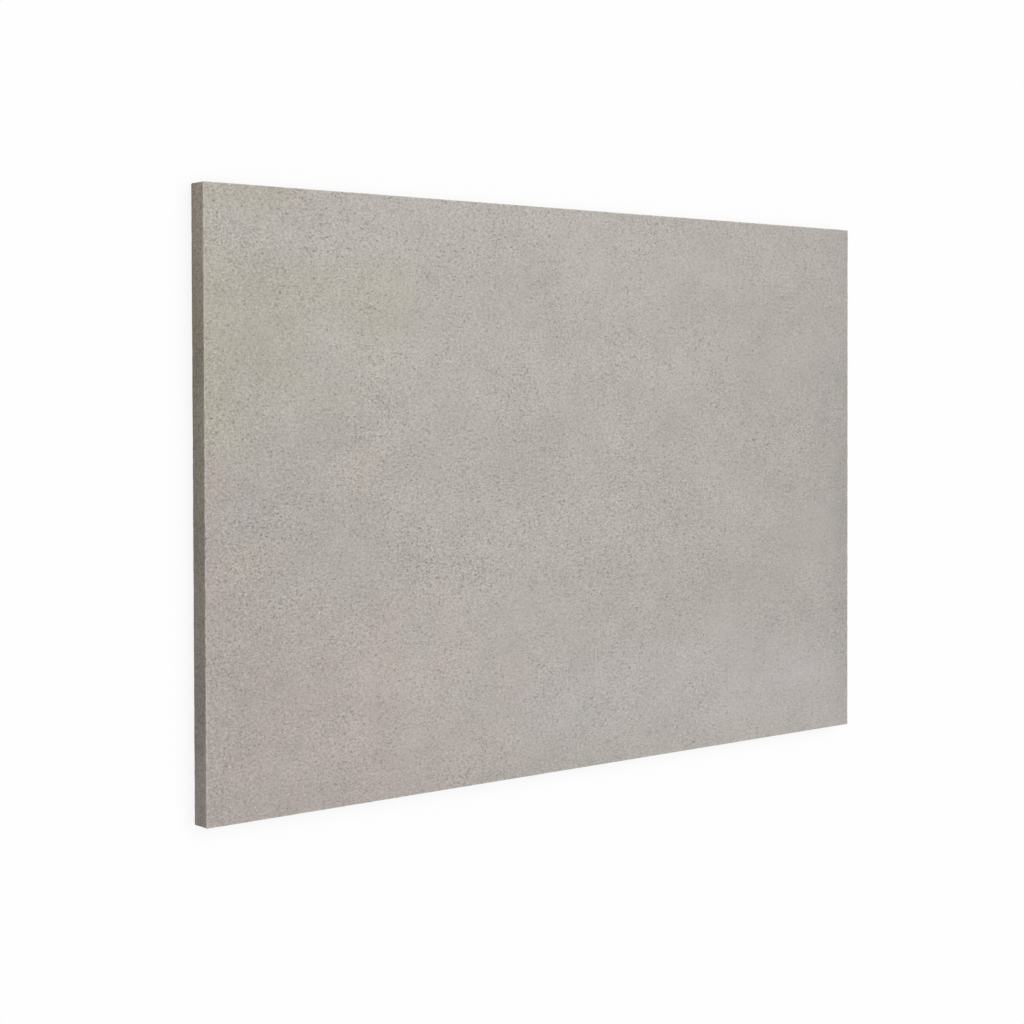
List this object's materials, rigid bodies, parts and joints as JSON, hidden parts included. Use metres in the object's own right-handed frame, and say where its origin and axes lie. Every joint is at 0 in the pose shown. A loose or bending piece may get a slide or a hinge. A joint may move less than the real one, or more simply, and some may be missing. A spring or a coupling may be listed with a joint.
{
  "type": "cement board",
  "caption": "Flat rectangular cement board with square sawn edges and a small arris all round, lying on its back face; screwed to studs or laid as a floor or tile backing.",
  "frame": {"origin": "middle of the back face, on the surface that the board lies on", "axes": "+X along the length, +Y along the width, +Z out of the front face, through the thickness"},
  "size_m": [0.9, 0.6, 0.022],
  "materials": {
    "cement": "matte"
  },
  "bodies": {
    "root": {"cement_board": "cement"}
  },
  "joints": []
}
